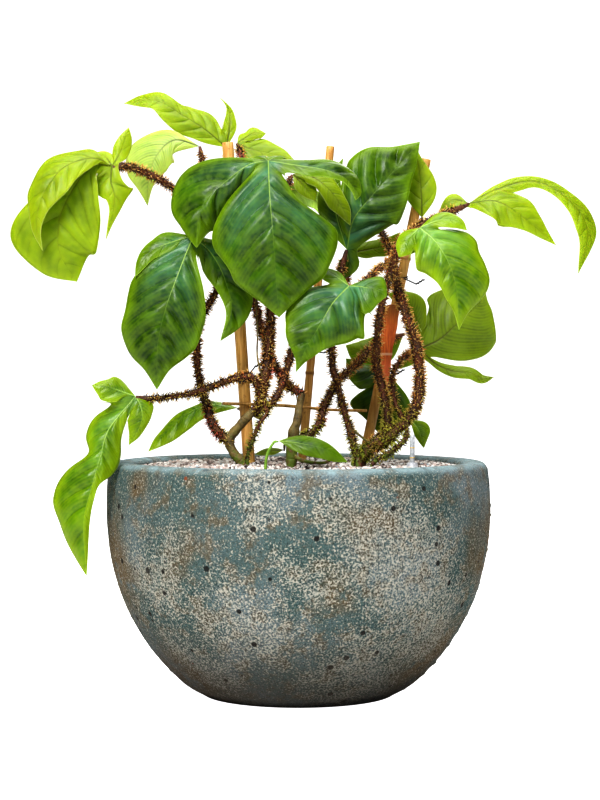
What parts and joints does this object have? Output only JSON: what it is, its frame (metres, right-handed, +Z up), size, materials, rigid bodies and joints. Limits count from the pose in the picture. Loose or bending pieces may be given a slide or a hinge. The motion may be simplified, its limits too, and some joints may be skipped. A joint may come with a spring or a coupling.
{
  "type": "potted climbing philodendron with bristly red stems in a stone bowl planter",
  "caption": "Climbing philodendron with lobed green leaves and bristly red-brown stems on bamboo canes, in a wide mottled blue-grey bowl planter filled with pale granules, with a water gauge.",
  "frame": {"origin": "centre of the planter's flat base, on the floor", "axes": "+Z up, +X to the right of the front view, +Y to the back (the picture looks along +Y)"},
  "size_m": [0.726, 0.478, 0.7669],
  "materials": {
    "planter_stone": "weathered, mottled stoneware-like cast stone, matte",
    "granules": "loose mineral granules, matte",
    "hairy_stem": "red-brown stems with golden bristles, matte",
    "green_shoot": "smooth green shoot",
    "mature_leaf": "mature blade, satin with a bluish sheen",
    "fresh_leaf": "full-sized but still fresh green blade, satin",
    "pale_leaf": "pale new blade with dark veins, satin",
    "young_leaf": "young blade, bright yellow-green, satin",
    "olive_leaf": "olive blade and pale underside, satin",
    "bamboo": "peeled bamboo, satin",
    "wire_tie": "coated black wire",
    "dry_scale_skin": "dry papery scale",
    "gauge_plastic": "clear to greyish plastic tube",
    "gauge_red": "red indicator float"
  },
  "bodies": {
    "root": {"cane_left": "bamboo", "cane_middle": "bamboo", "cane_right": "bamboo", "cross_stick": "bamboo", "dry_scale": "dry_scale_skin", "gauge_collar": "gauge_plastic", "gauge_float": "gauge_red", "gauge_tube": "gauge_plastic", "granule_filling": "granules", "leaf_back_left": "mature_leaf", "leaf_back_right": "mature_leaf", "leaf_behind_cane": "olive_leaf", "leaf_centre_gap": "olive_leaf", "leaf_centre_shade": "olive_leaf", "leaf_far_left": "young_leaf", "leaf_far_right": "young_leaf", "leaf_front_centre": "mature_leaf", "leaf_front_left": "mature_leaf", "leaf_front_low": "mature_leaf", "leaf_front_right": "fresh_leaf", "leaf_left_narrow": "fresh_leaf", "leaf_left_pale": "pale_leaf", "leaf_low_dark": "mature_leaf", "leaf_low_small": "fresh_leaf", "leaf_over_rim": "fresh_leaf", "leaf_right": "olive_leaf", "leaf_rim_back": "olive_leaf", "leaf_rim_front": "mature_leaf", "leaf_top_centre": "young_leaf", "leaf_top_left": "young_leaf", "leaf_upper_right": "mature_leaf", "leaf_upper_right_back": "young_leaf", "planter": "planter_stone", "shoot_front": "green_shoot", "tie_left": "wire_tie", "tie_middle": "wire_tie", "tie_right_high": "wire_tie", "tie_right_low": "wire_tie", "vine_left": "hairy_stem", "vine_middle": "hairy_stem", "vine_right": "hairy_stem"}
  },
  "joints": []
}
